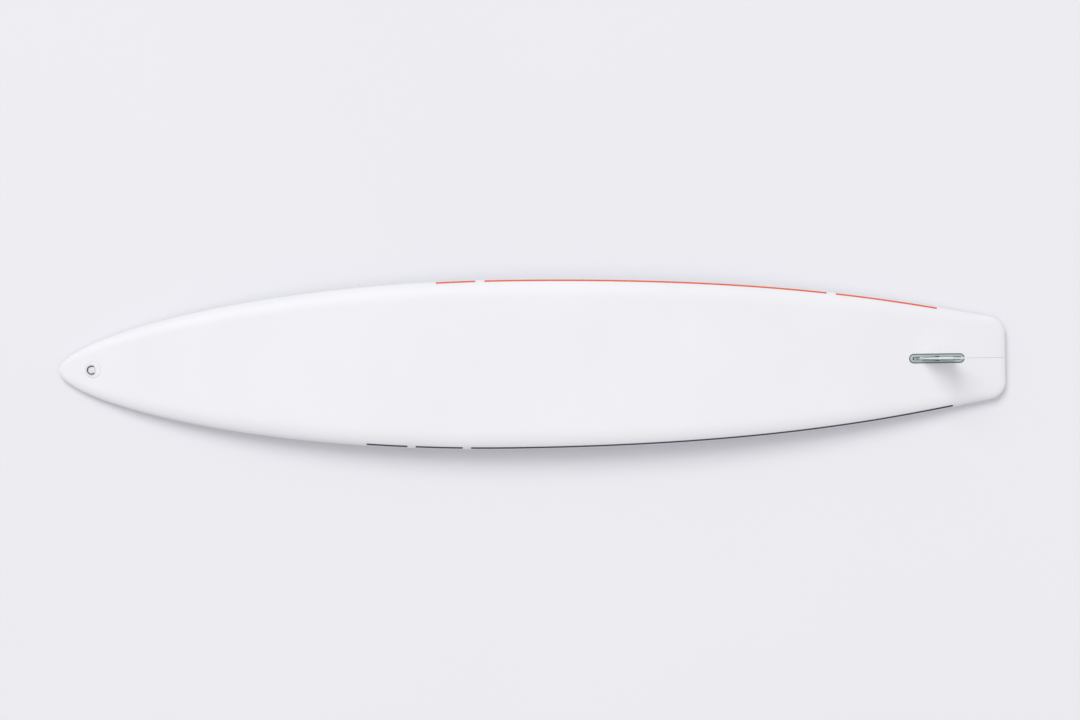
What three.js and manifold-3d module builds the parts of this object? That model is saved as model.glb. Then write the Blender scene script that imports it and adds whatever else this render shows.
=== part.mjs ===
// A longboard surfboard of the long, pointed-nose "glider" kind, with a single fin in a fin box.
// It lies deck down on the floor, with its flat bottom and its fin facing up.
//
// Frame, in millimetres: +X from the nose to the tail, +Y to the port rail, +Z up, out of the bottom.
// The origin is on the floor, below the middle of the board's length and width.
// "Station" is the distance from the nose tip along the board, so X = station - LENGTH / 2.

import * as THREE from "three";
import { mergeVertices } from "three/addons/utils/BufferGeometryUtils.js";
import Module from "manifold-3d";

const wasm = await Module();
wasm.setup();

// ---------------------------------------------------------------- driving dimensions

const LENGTH = 3200;
const WIDTH = 572;
const THICKNESS = 86;
const NOSE_THICKNESS = 10;
const TAIL_THICKNESS = 16;
const WIDE_STATION = 1530;
const THICK_STATION = 1560;

// Rocker is how far the bottom falls from its highest station to each end.
const HIGH_STATION = 1750;
const NOSE_ROCKER = 101;
const TAIL_ROCKER = 95;

// The tail is cut square, with round corners.
const TAIL_CORNER_RADIUS = 60;
const TAIL_STRAIGHT_HALF = 82;

// The rail's widest line lies this share of the thickness below the bottom.
const RAIL_SHARE = 0.44;
// The rail is a quarter superellipse on each side of that line, this much wider than it is high.
const BOTTOM_ROLL_ASPECT = 1.75;
const DECK_ROLL_ASPECT = 3.2;
const ROLL_POWER = 2.3;
// Near the ends the roll gets narrower, and it is never narrower than the nose tip's own radius.
const TIP_RADIUS = 24;

const SKIN = 1.5; // glass cloth and resin
const GAP = 0.3; // between neighbouring pieces
const STRINGER_WIDTH = 4;

const FIN_BOX_STATION = 2965;
const NOSE_RING_STATION = 118;
const LEASH_CUP_STATION = 3105;

// ---------------------------------------------------------------- materials

function material(color, roughness, metalness = 0) {
  return new THREE.MeshStandardMaterial({ color, roughness, metalness });
}

const gloss = material(0xf1f2f6, 0.2);
const foam = material(0xf4efe2, 0.95);
const denseFoam = material(0xc9b98c, 0.9);
const timber = material(0xb98d5b, 0.6);
const boxPlastic = material(0xa3b8bb, 0.25, 0.3);
const finGlass = material(0xf0f2ea, 0.2);
const fittingPlastic = material(0xeef0f4, 0.35);
const cupPlastic = material(0x2b2d31, 0.4);
const steel = material(0x8f9296, 0.25, 1);
const brass = material(0xb08a4a, 0.35, 1);
const redTape = material(0xe2603f, 0.35);
const navyTape = material(0x35354a, 0.35);
const greyInk = material(0x8c8c92, 0.6);

// ---------------------------------------------------------------- solids and meshes

// Merges a geometry's vertices by place and drops the triangles that this closes up.
function weld(geometry) {
  const loose = geometry.index ? geometry.toNonIndexed() : geometry.clone();
  loose.deleteAttribute("normal");
  loose.deleteAttribute("uv");
  const merged = mergeVertices(loose, 1e-4);
  const index = merged.index.array;
  const kept = [];
  for (let i = 0; i < index.length; i += 3) {
    const [a, b, c] = [index[i], index[i + 1], index[i + 2]];
    if (a !== b && b !== c && c !== a) {
      kept.push(a, b, c);
    }
  }
  return merged.setIndex(kept);
}

function toSolid(geometry) {
  const welded = weld(geometry);
  return new wasm.Manifold(
    new wasm.Mesh({
      numProp: 3,
      vertProperties: welded.attributes.position.array,
      triVerts: new Uint32Array(welded.index.array),
    }),
  );
}

function toGeometry(solid) {
  const made = solid.getMesh();
  const geometry = new THREE.BufferGeometry();
  geometry.setAttribute("position", new THREE.BufferAttribute(made.vertProperties, 3));
  geometry.setIndex(new THREE.BufferAttribute(made.triVerts, 1));
  geometry.computeVertexNormals();
  return geometry;
}

function addPiece(parent, name, shape, look) {
  const geometry = shape.isBufferGeometry ? weld(shape) : toGeometry(shape);
  geometry.computeVertexNormals();
  const mesh = new THREE.Mesh(geometry, look);
  mesh.name = name;
  parent.add(mesh);
}

// A closed solid between two grids of points, given as rows that run the same way.
function sheetGeometry(outer, inner) {
  const corners = [];
  const quad = (a, b, c, d) => corners.push(a, b, c, a, c, d);
  const rows = outer.length - 1;
  const columns = outer[0].length - 1;
  for (let i = 0; i < rows; i++) {
    for (let j = 0; j < columns; j++) {
      quad(outer[i][j], outer[i + 1][j], outer[i + 1][j + 1], outer[i][j + 1]);
      quad(inner[i][j], inner[i][j + 1], inner[i + 1][j + 1], inner[i + 1][j]);
    }
    quad(outer[i][0], inner[i][0], inner[i + 1][0], outer[i + 1][0]);
    quad(outer[i][columns], outer[i + 1][columns], inner[i + 1][columns], inner[i][columns]);
  }
  for (let j = 0; j < columns; j++) {
    quad(outer[0][j], outer[0][j + 1], inner[0][j + 1], inner[0][j]);
    quad(outer[rows][j], inner[rows][j], inner[rows][j + 1], outer[rows][j + 1]);
  }
  return new THREE.BufferGeometry().setFromPoints(corners);
}

// A box by its lowest and highest corners.
function boxGeometry(low, high) {
  const [x, y, z] = high.map((value, k) => value - low[k]);
  const [cx, cy, cz] = high.map((value, k) => (value + low[k]) / 2);
  return new THREE.BoxGeometry(x, y, z).translate(cx, cy, cz);
}

// A plate with round ends, long in X, between two heights. A bevel rounds both of its edges.
function stadiumGeometry(length, width, bottom, top, bevel = 0) {
  const reach = (length - width) / 2;
  const radius = width / 2 - bevel;
  const shape = new THREE.Shape();
  shape.absarc(reach, 0, radius, -Math.PI / 2, Math.PI / 2);
  shape.absarc(-reach, 0, radius, Math.PI / 2, Math.PI * 1.5);
  const options = {
    depth: top - bottom - 2 * bevel,
    curveSegments: 8,
    bevelEnabled: bevel > 0,
    bevelThickness: bevel,
    bevelSize: bevel,
    bevelSegments: 3,
  };
  const geometry = new THREE.ExtrudeGeometry(shape, options);
  return geometry.translate(0, 0, bottom + bevel);
}

// A solid of revolution about Z from [radius, height] pairs, listed from the lowest to the highest.
function turnedGeometry(profile, segments) {
  const points = profile.map(([radius, height]) => new THREE.Vector2(radius, height));
  return new THREE.LatheGeometry(points, segments).rotateX(Math.PI / 2);
}

function drumGeometry(radius, bottom, top, segments = 20) {
  return turnedGeometry([[0, bottom], [radius, bottom], [radius, top], [0, top]], segments);
}

// A round rod along Y, centred on the point given.
function rodGeometry(radius, length, [x, y, z], segments = 12) {
  return new THREE.CylinderGeometry(radius, radius, length, segments).translate(x, y, z);
}

// ---------------------------------------------------------------- the board's surface

// Half of the plan outline, from the nose tip round to the middle of the tail end.
function makeOutline() {
  const half = WIDTH / 2;
  const cornerStation = LENGTH - TAIL_CORNER_RADIUS;
  const cornerAngle = 1.383; // where the rail's curve runs into the corner
  const cornerX = cornerStation + TAIL_CORNER_RADIUS * Math.cos(cornerAngle);
  const cornerY = TAIL_STRAIGHT_HALF + TAIL_CORNER_RADIUS * Math.sin(cornerAngle);
  const path = new THREE.Path();
  path.moveTo(0, 0);
  path.bezierCurveTo(0, 101, 630, half, WIDE_STATION, half);
  path.bezierCurveTo(2461, half, 2884, 188, cornerX, cornerY);
  path.absarc(cornerStation, TAIL_STRAIGHT_HALF, TAIL_CORNER_RADIUS, cornerAngle, 0, true);
  path.lineTo(LENGTH, 0);
  return path.getPoints(80);
}

const outline = makeOutline();

function halfWidth(station) {
  const next = outline.findIndex((point, k) => k > 0 && point.x >= station);
  const [a, b] = [outline[next - 1], outline[next]];
  return THREE.MathUtils.mapLinear(station, a.x, b.x, a.y, b.y);
}

// Shortest distance in plan from a point on the board to its outline.
function distanceToOutline(station, y) {
  const point = new THREE.Vector3(station, Math.abs(y), 0);
  const nearest = new THREE.Vector3();
  const line = new THREE.Line3();
  let shortest = Infinity;
  for (let k = 1; k < outline.length; k++) {
    line.start.set(outline[k - 1].x, outline[k - 1].y, 0);
    line.end.set(outline[k].x, outline[k].y, 0);
    line.closestPointToPoint(point, true, nearest);
    shortest = Math.min(shortest, nearest.distanceTo(point));
  }
  return shortest;
}

// The foil: thickness falls slowly at first and fast at the ends.
function thickness(station) {
  const nose = station < THICK_STATION;
  const reach = nose ? THICK_STATION : LENGTH - THICK_STATION;
  const end = nose ? NOSE_THICKNESS : TAIL_THICKNESS;
  const share = Math.abs(station - THICK_STATION) / reach;
  return end + (THICKNESS - end) * Math.sqrt(Math.max(0, 1 - share ** (nose ? 3 : 4)));
}

// Height of the bottom's centre line over the lowest end of the rocker.
function rocker(station) {
  const nose = station < HIGH_STATION;
  const reach = nose ? HIGH_STATION : LENGTH - HIGH_STATION;
  const fall = nose ? NOSE_ROCKER : TAIL_ROCKER;
  const power = nose ? 2.3 : 2.1;
  const share = Math.abs(station - HIGH_STATION) / reach;
  return NOSE_ROCKER - fall * share ** power;
}

// A quarter superellipse: 0 at the rail, 1 where the roll ends.
function roll(distance, width) {
  const inward = 1 - Math.min(distance / width, 1);
  return (1 - inward ** ROLL_POWER) ** (1 / ROLL_POWER);
}

// Height of the outer surface. Side 1 is the bottom, which faces up, and -1 is the deck.
function surfaceHeight(station, y, side) {
  const depth = thickness(station) * RAIL_SHARE;
  const rise = side > 0 ? depth : thickness(station) - depth;
  const aspect = side > 0 ? BOTTOM_ROLL_ASPECT : DECK_ROLL_ASPECT;
  const widest = Math.max(TIP_RADIUS, distanceToOutline(station, 0));
  const width = Math.min(aspect * rise, widest);
  return rocker(station) - depth + side * rise * roll(distanceToOutline(station, y), width);
}

// Points run round each station from the port rail over the bottom to the starboard rail,
// and back under the deck.
const STATIONS = 38;
const SIDE_STEPS = 8;
const RING = SIDE_STEPS * 4;

function ringPoint(i, k) {
  const station = (LENGTH * (1 - Math.cos((Math.PI * i) / STATIONS))) / 2;
  const side = k <= RING / 2 ? 1 : -1;
  const y = halfWidth(station) * Math.cos((Math.PI * k) / (RING / 2));
  return new THREE.Vector3(station - LENGTH / 2, y, surfaceHeight(station, y, side));
}

function makeRings() {
  const rings = [];
  for (let i = 0; i <= STATIONS; i++) {
    rings.push(Array.from({ length: RING }, (_, k) => ringPoint(i, k)));
  }
  const lowest = Math.min(...rings.flat().map((point) => point.z));
  rings.flat().forEach((point) => (point.z -= lowest));
  return { rings, lowest };
}

const { rings, lowest: FLOOR } = makeRings();

function ringNormal(i, k) {
  if (i === 0 || i === STATIONS) {
    return new THREE.Vector3(i === 0 ? -1 : 1, 0, 0);
  }
  const along = rings[i + 1][k].clone().sub(rings[i - 1][k]);
  const around = rings[i][(k + 1) % RING].clone().sub(rings[i][(k + RING - 1) % RING]);
  return around.cross(along).normalize();
}

const normals = rings.map((ring, i) => ring.map((_, k) => ringNormal(i, k)));

// The surface moved inward by a depth.
function inset(depth) {
  return rings.map((ring, i) =>
    ring.map((point, k) => point.clone().addScaledVector(normals[i][k], -depth)),
  );
}

// The foam core's whole shape, before it is cut into its pieces. Its quads are split along the
// same diagonal as the skins', so the two stay parallel.
function coreSolid() {
  const grid = inset(SKIN + GAP);
  const corners = [];
  for (let i = 0; i < STATIONS; i++) {
    for (let k = 0; k < RING; k++) {
      const after = (k + 1) % RING;
      const [a, b, c, d] = [grid[i][k], grid[i][after], grid[i + 1][after], grid[i + 1][k]];
      corners.push(a, b, d, b, c, d);
    }
  }
  return toSolid(new THREE.BufferGeometry().setFromPoints(corners));
}

// One of the two skins, which meet along the rail with a gap between them.
function skinSolid(side) {
  const half = RING / 2;
  const pick = (ring, i) => {
    const run = side > 0 ? ring.slice(0, half + 1) : [...ring.slice(half), ring[0]];
    return run.map((point, j) => {
      const onRim = j === 0 || j === half || i === 0 || i === STATIONS;
      return onRim ? point.clone().setZ(point.z + (side * GAP) / 2) : point;
    });
  };
  const reverse = (rows) => rows.map((row) => row.slice().reverse());
  return toSolid(sheetGeometry(reverse(rings.map(pick)), reverse(inset(SKIN).map(pick))));
}

// A strip that lies on the bottom. Its points are given by station and Y, and it is lifted
// enough to clear the skin's facets.
const TAPE = 0.4;
const TAPE_LIFT = 0.6;

function stripGeometry(stations, acrossAt) {
  const layer = (lift) =>
    stations.map((station) =>
      acrossAt(station).map((y) => {
        const height = (s, t) => surfaceHeight(s, t, 1);
        const slopeX = height(station + 1, y) - height(station - 1, y);
        const slopeY = height(station, y + 0.1) - height(station, y - 0.1);
        const normal = new THREE.Vector3(-slopeX / 2, -slopeY / 0.2, 1).normalize();
        const point = new THREE.Vector3(station - LENGTH / 2, y, height(station, y) - FLOOR);
        return point.addScaledVector(normal, lift);
      }),
    );
  return sheetGeometry(layer(TAPE_LIFT + TAPE), layer(TAPE_LIFT));
}

function evenSteps(from, to, longest) {
  const count = Math.ceil((to - from) / longest);
  return Array.from({ length: count + 1 }, (_, k) => from + ((to - from) * k) / count);
}

// A turned frame on the board's centre line: X towards the tail and Z out of the surface.
function makeFrame(station, side) {
  const rise = surfaceHeight(station + 1, 0, side) - surfaceHeight(station - 1, 0, side);
  const along = new THREE.Vector3(2, 0, rise).normalize();
  const out = new THREE.Vector3(-along.z * side, 0, along.x * side);
  const across = new THREE.Vector3().crossVectors(out, along);
  const group = new THREE.Group();
  group.quaternion.setFromRotationMatrix(new THREE.Matrix4().makeBasis(along, across, out));
  group.position.set(station - LENGTH / 2, 0, surfaceHeight(station, 0, side) - FLOOR);
  group.updateMatrix();
  return group;
}

// ---------------------------------------------------------------- fin box and fin

// These heights are above the board's bottom at the fin box.
const BOX_LENGTH = 190;
const BOX_WIDTH = 32;
const BOX_TOP = 2.4;
const BOX_LEDGE = -2.6;
const BOX_BODY_WIDTH = 25;
const BOX_DEPTH = 27;
const SLOT_LENGTH = 166;
const SLOT_WIDTH = 9.8;
const SLOT_DEPTH = 24;
const TRACK_WIDTH = 15.6;
const TRACK_TOP = -12;
const TRACK_BOTTOM = -17.4;
const DROP_IN_LENGTH = 18;

function finBoxSolid() {
  const track = SLOT_LENGTH / 2 - 2;
  const flange = stadiumGeometry(BOX_LENGTH, BOX_WIDTH, BOX_LEDGE, BOX_TOP, 2.4);
  const body = stadiumGeometry(BOX_LENGTH - 10, BOX_BODY_WIDTH, -BOX_DEPTH, 0);
  const slot = stadiumGeometry(SLOT_LENGTH, SLOT_WIDTH, -SLOT_DEPTH, 10);
  const tracks = boxGeometry(
    [-track, -TRACK_WIDTH / 2, TRACK_BOTTOM],
    [track, TRACK_WIDTH / 2, TRACK_TOP],
  );
  const dropIn = boxGeometry(
    [-DROP_IN_LENGTH / 2, -TRACK_WIDTH / 2, TRACK_BOTTOM],
    [DROP_IN_LENGTH / 2, TRACK_WIDTH / 2, 10],
  );
  return toSolid(body)
    .add(toSolid(flange))
    .subtract(toSolid(slot))
    .subtract(toSolid(tracks))
    .subtract(toSolid(dropIn));
}

function finBoxPocket() {
  const length = BOX_LENGTH + 2 * GAP;
  const flange = stadiumGeometry(length, BOX_WIDTH + 2 * GAP, BOX_LEDGE - GAP, 10);
  const body = stadiumGeometry(length - 10, BOX_BODY_WIDTH + 2 * GAP, -BOX_DEPTH - GAP, 0);
  return [flange, body];
}

const FIN_HEIGHT = 222;
const FIN_ROOT = [-60, 60]; // leading and trailing edge at the root
const FIN_TIP = [40, 57];
const FIN_ROOT_THICKNESS = 8.8;
const FIN_TIP_THICKNESS = 4.4;
const TAB_THICKNESS = 9.2;
const TAB_FRONT = -76;
const TAB_BACK = 56;
const TAB_BOTTOM = -20;
const LUG_TOP = -2.5;
const LUG_BOTTOM = -11.2;
const SCREW_X = -68;
const SCREW_RADIUS = 2;
const PIN_X = 44;
const PIN_RADIUS = 2.5;
const TRACK_MIDDLE = (TRACK_TOP + TRACK_BOTTOM) / 2;

// The leading and trailing edges are curves in the fin's own plane.
const leadingEdge = new THREE.CubicBezierCurve(
  new THREE.Vector2(FIN_ROOT[0], 0),
  new THREE.Vector2(-44, 84),
  new THREE.Vector2(-6, 176),
  new THREE.Vector2(FIN_TIP[0], FIN_HEIGHT),
);
const trailingEdge = new THREE.CubicBezierCurve(
  new THREE.Vector2(FIN_ROOT[1], 0),
  new THREE.Vector2(38, 60),
  new THREE.Vector2(46, 160),
  new THREE.Vector2(FIN_TIP[1], FIN_HEIGHT),
);

// One slice of the blade: a symmetric foil, round in front and thin behind.
const FOIL_STEPS = 8;

function foilSlice(share) {
  const front = leadingEdge.getPoint(share);
  const back = trailingEdge.getPoint(share);
  const full = THREE.MathUtils.lerp(FIN_ROOT_THICKNESS, FIN_TIP_THICKNESS, share);
  const half = (full / 2) * Math.sqrt(1 - 0.75 * share ** 8);
  const slice = [];
  for (let k = 0; k < FOIL_STEPS * 2; k++) {
    const angle = (Math.PI * k) / FOIL_STEPS;
    const chord = (1 - Math.cos(angle)) / 2;
    const swell = Math.sin(angle) * (1.18 - 0.36 * chord);
    const x = THREE.MathUtils.lerp(front.x, back.x, chord);
    const z = THREE.MathUtils.lerp(front.y, back.y, chord);
    slice.push(new THREE.Vector3(x, half * swell, z));
  }
  return slice;
}

function bladeGeometry() {
  const shares = [0, 0.12, 0.26, 0.4, 0.54, 0.67, 0.78, 0.87, 0.94, 0.98, 1];
  const slices = shares.map(foilSlice);
  const corners = [];
  const ringSize = FOIL_STEPS * 2;
  const middle = (slice) =>
    slice.reduce((sum, point) => sum.add(point), new THREE.Vector3()).divideScalar(ringSize);
  const [bottom, top] = [middle(slices[0]), middle(slices.at(-1))];
  for (let k = 0; k < ringSize; k++) {
    const after = (k + 1) % ringSize;
    for (let i = 0; i + 1 < slices.length; i++) {
      const [a, b, c, d] = [slices[i][k], slices[i][after], slices[i + 1][after], slices[i + 1][k]];
      corners.push(a, c, b, a, d, c);
    }
    corners.push(bottom, slices[0][k], slices[0][after]);
    corners.push(top, slices.at(-1)[after], slices.at(-1)[k]);
  }
  return new THREE.BufferGeometry().setFromPoints(corners);
}

function finSolid() {
  const half = TAB_THICKNESS / 2;
  const tab = boxGeometry([FIN_ROOT[0] + 2, -half, TAB_BOTTOM], [TAB_BACK, half, 0.4]);
  const lug = boxGeometry([TAB_FRONT, -half, LUG_BOTTOM], [FIN_ROOT[0] + 3, half, LUG_TOP]);
  const screwHole = drumGeometry(SCREW_RADIUS + GAP, LUG_BOTTOM - 1, LUG_TOP + 1, 12);
  const pinHole = rodGeometry(PIN_RADIUS + GAP, 20, [PIN_X, 0, TRACK_MIDDLE]);
  return toSolid(bladeGeometry())
    .add(toSolid(tab))
    .add(toSolid(lug))
    .subtract(toSolid(screwHole.translate(SCREW_X, 0, 0)))
    .subtract(toSolid(pinHole));
}

const PLATE_TOP = TRACK_TOP - GAP;
const PLATE_THICKNESS = 2.8;

function finPlateSolid() {
  const plate = boxGeometry(
    [SCREW_X - 6.5, -TRACK_WIDTH / 2 + 0.4, PLATE_TOP - PLATE_THICKNESS],
    [SCREW_X + 6.5, TRACK_WIDTH / 2 - 0.4, PLATE_TOP],
  );
  const hole = drumGeometry(SCREW_RADIUS + GAP, PLATE_TOP - 5, PLATE_TOP + 5, 12);
  return toSolid(plate).subtract(toSolid(hole.translate(SCREW_X, 0, 0)));
}

const SCREW_HEAD_RADIUS = 4;
const SCREW_HEAD_TOP = 0.4;

function finScrewSolid() {
  const seat = LUG_TOP + GAP;
  const screw = turnedGeometry(
    [
      [0, -18],
      [SCREW_RADIUS - 0.4, -18],
      [SCREW_RADIUS, -17.4],
      [SCREW_RADIUS, seat],
      [SCREW_HEAD_RADIUS, seat],
      [SCREW_HEAD_RADIUS, seat + 1.4],
      [SCREW_HEAD_RADIUS - 1, SCREW_HEAD_TOP],
      [0, SCREW_HEAD_TOP],
    ],
    16,
  );
  const driverSlot = boxGeometry([-5, -0.6, SCREW_HEAD_TOP - 1], [5, 0.6, SCREW_HEAD_TOP + 1]);
  return toSolid(screw).subtract(toSolid(driverSlot)).translate([SCREW_X, 0, 0]);
}

// ---------------------------------------------------------------- towing ring at the nose

// Heights are above the bottom, and X is from the middle of the round base.
const BASE_RADIUS = 27;
const BASE_TOP = 1.4;
const STEM_RADIUS = 17;
const STEM_DEPTH = 16;
const RING_WIRE = 4;
const RING_BEND = 13.5; // radius of the ring's round end, to the wire's middle
const RING_CENTRE_X = -5;
const PIVOT_X = 3;
const PIVOT_Z = 4.4;
const SADDLE_HALF_WIDTH = 9.5;
const SADDLE_RADIUS = 5.2;

function noseBaseSolid() {
  const plug = turnedGeometry(
    [
      [0, -STEM_DEPTH],
      [STEM_RADIUS, -STEM_DEPTH],
      [STEM_RADIUS, -2],
      [BASE_RADIUS, -2],
      [BASE_RADIUS, 0.2],
      [BASE_RADIUS - 2, BASE_TOP],
      [0, BASE_TOP],
    ],
    28,
  );
  const saddle = rodGeometry(SADDLE_RADIUS, SADDLE_HALF_WIDTH * 2, [PIVOT_X, 0, PIVOT_Z], 20);
  const foot = boxGeometry(
    [PIVOT_X - SADDLE_RADIUS, -SADDLE_HALF_WIDTH, 0],
    [PIVOT_X + SADDLE_RADIUS, SADDLE_HALF_WIDTH, PIVOT_Z],
  );
  const hole = rodGeometry(RING_WIRE / 2 + GAP, 40, [PIVOT_X, 0, PIVOT_Z]);
  return toSolid(plug).add(toSolid(saddle)).add(toSolid(foot)).subtract(toSolid(hole));
}

function noseBasePocket() {
  return [
    drumGeometry(BASE_RADIUS + GAP, -2 - GAP, 10, 28),
    drumGeometry(STEM_RADIUS + GAP, -STEM_DEPTH - GAP, 0),
  ];
}

// The wire runs from one pivot end round the bend to the other.
function noseRingGeometry() {
  const corner = 3;
  const points = [];
  const arc = (x, y, radius, from, to, steps) => {
    for (let k = 0; k <= steps; k++) {
      const angle = THREE.MathUtils.lerp(from, to, k / steps);
      points.push(
        new THREE.Vector3(x + radius * Math.cos(angle), y + radius * Math.sin(angle), PIVOT_Z),
      );
    }
  };
  points.push(new THREE.Vector3(PIVOT_X, 3, PIVOT_Z));
  points.push(new THREE.Vector3(PIVOT_X, 7, PIVOT_Z));
  arc(PIVOT_X - corner, RING_BEND - corner, corner, 0, Math.PI / 2, 3);
  arc(RING_CENTRE_X, 0, RING_BEND, Math.PI / 2, Math.PI * 1.5, 14);
  arc(PIVOT_X - corner, corner - RING_BEND, corner, -Math.PI / 2, 0, 3);
  points.push(new THREE.Vector3(PIVOT_X, -7, PIVOT_Z));
  points.push(new THREE.Vector3(PIVOT_X, -3, PIVOT_Z));
  const section = new THREE.Shape().absarc(0, 0, RING_WIRE / 2, 0, Math.PI * 2);
  const options = {
    steps: points.length * 2,
    curveSegments: 4,
    extrudePath: new THREE.CatmullRomCurve3(points, false, "centripetal"),
  };
  return new THREE.ExtrudeGeometry(section, options);
}

// ---------------------------------------------------------------- leash cup in the deck

const CUP_RADIUS = 14;
const CUP_RIM_RADIUS = 17;
const CUP_BORE_RADIUS = 11.5;
const CUP_DEPTH = 21;
const CUP_FLOOR = -18;
const CUP_RIM_TOP = -0.2;
const LEASH_BAR_RADIUS = 2.4;
const LEASH_BAR_DEPTH = -6.5;

function leashCupSolid() {
  const cup = turnedGeometry(
    [
      [0, -CUP_DEPTH],
      [CUP_RADIUS, -CUP_DEPTH],
      [CUP_RADIUS, -2],
      [CUP_RIM_RADIUS, -2],
      [CUP_RIM_RADIUS, CUP_RIM_TOP],
      [CUP_BORE_RADIUS, CUP_RIM_TOP],
      [CUP_BORE_RADIUS, CUP_FLOOR],
      [0, CUP_FLOOR],
    ],
    24,
  );
  const hole = rodGeometry(LEASH_BAR_RADIUS + GAP, 40, [0, 0, LEASH_BAR_DEPTH]);
  return toSolid(cup).subtract(toSolid(hole));
}

function leashCupPocket() {
  return [
    drumGeometry(CUP_RIM_RADIUS + GAP, -2 - GAP, 10, 24),
    drumGeometry(CUP_RADIUS + GAP, -CUP_DEPTH - GAP, 0, 24),
  ];
}

// ---------------------------------------------------------------- assembly

const board = new THREE.Group();
const finFrame = makeFrame(FIN_BOX_STATION, 1);
const noseFrame = makeFrame(NOSE_RING_STATION, 1);
const leashFrame = makeFrame(LEASH_CUP_STATION, -1);
board.add(finFrame, noseFrame, leashFrame);

// Cutters are made in a fitting's own frame and moved to the board's.
function placed(frame, geometries) {
  return geometries
    .map((geometry) => toSolid(geometry.clone().applyMatrix4(frame.matrix)))
    .reduce((sum, solid) => sum.add(solid));
}

const pockets = {
  fin: placed(finFrame, finBoxPocket()),
  nose: placed(noseFrame, noseBasePocket()),
  leash: placed(leashFrame, leashCupPocket()),
};

const bottomSkin = skinSolid(1).subtract(pockets.fin).subtract(pockets.nose);
const deckSkin = skinSolid(-1).subtract(pockets.leash);
addPiece(board, "bottom_skin", bottomSkin, gloss);
addPiece(board, "deck_skin", deckSkin, gloss);

// Dense foam blocks hold the fittings. Each is a plug cut from the core's own shape, and the
// blank has a hole for it that is a gap wider all round.
const blockShapes = {
  fin: (grow) => [stadiumGeometry(220 + 2 * grow, 78 + 2 * grow, -38 - grow, 30)],
  nose: (grow) => [drumGeometry(30 + grow, -26 - grow, 30, 28)],
  leash: (grow) => [drumGeometry(25 + grow, -28 - grow, 30, 28)],
};
const frames = { fin: finFrame, nose: noseFrame, leash: leashFrame };
const blockNames = { fin: "fin_box_block", nose: "nose_ring_block", leash: "leash_cup_block" };

const core = coreSolid();
let blank = core;
for (const [key, frame] of Object.entries(frames)) {
  const block = core.intersect(placed(frame, blockShapes[key](0))).subtract(pockets[key]);
  addPiece(board, blockNames[key], block, denseFoam);
  blank = blank.subtract(placed(frame, blockShapes[key](GAP)));
}

// The stringer is a slice down the middle of the blank, and the foam is in two halves beside it.
const half = STRINGER_WIDTH / 2;
const far = LENGTH;
const slab = (low, high) => toSolid(boxGeometry([-far, low, -far], [far, high, far]));
addPiece(board, "stringer", blank.intersect(slab(-half, half)), timber);
addPiece(board, "foam_port", blank.intersect(slab(half + GAP, far)), foam);
addPiece(board, "foam_starboard", blank.intersect(slab(-far, -half - GAP)), foam);

addPiece(finFrame, "fin_box", finBoxSolid(), boxPlastic);
addPiece(finFrame, "fin", finSolid(), finGlass);
addPiece(finFrame, "fin_plate", finPlateSolid(), steel);
addPiece(finFrame, "fin_screw", finScrewSolid(), brass);
const pinLength = TRACK_WIDTH - 0.8;
addPiece(finFrame, "fin_pin", rodGeometry(PIN_RADIUS, pinLength, [PIN_X, 0, TRACK_MIDDLE]), brass);

addPiece(noseFrame, "nose_ring_base", noseBaseSolid(), fittingPlastic);
addPiece(noseFrame, "nose_ring", noseRingGeometry(), steel);

addPiece(leashFrame, "leash_cup", leashCupSolid(), cupPlastic);
const leashBar = rodGeometry(LEASH_BAR_RADIUS, CUP_RADIUS * 2 - 1, [0, 0, LEASH_BAR_DEPTH]);
addPiece(leashFrame, "leash_bar", leashBar, steel);

// Pinlines are tapes along the rails, in runs with short breaks. Each run is a pair of stations.
const PINLINE_WIDTH = 4.8;
const PINLINE_FROM_RAIL = 2.6;
const pinlines = [
  { name: "red_pinline", sign: 1, look: redTape, runs: [[1280, 1414], [1444, 2596], [2626, 2970]] },
  { name: "navy_pinline", sign: -1, look: navyTape, runs: [[1040, 1178], [1205, 1364], [1391, 3020]] },
];
for (const { name, sign, look, runs } of pinlines) {
  const across = (station) =>
    [0, 1, 2].map((k) => {
      const inward = PINLINE_FROM_RAIL + (PINLINE_WIDTH * k) / 2;
      return sign * halfWidth(station) - sign * inward;
    });
  const fromStarboard = (station) => (sign > 0 ? across(station).reverse() : across(station));
  runs.forEach(([from, to], k) => {
    const strip = stripGeometry(evenSteps(from, to, 110), fromStarboard);
    addPiece(board, `${name}_${k + 1}`, strip, look);
  });
}

// A drawn centre line runs from the fin box over the end of the tail.
const lineStart = FIN_BOX_STATION + BOX_LENGTH / 2 + 1;
const centreLine = stripGeometry(evenSteps(lineStart, LENGTH - 6, 22), () => [-0.8, 0.8]);
addPiece(board, "centre_line", centreLine, greyInk);

export default board;
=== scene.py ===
"""The looks of a longboard surfboard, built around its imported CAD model.

The board lies deck down: +X runs from the nose to the tail, +Y to the port rail and +Z out of
the bottom. Blender's unit is the metre, and this script's sizes are in millimetres unless a name
or a comment says otherwise. A "station" is the distance from the nose tip along the board.
"""

from math import cos, pi, radians, sin, sqrt

import bmesh
import bpy
import numpy as np
from mathutils import Matrix, Vector


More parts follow.
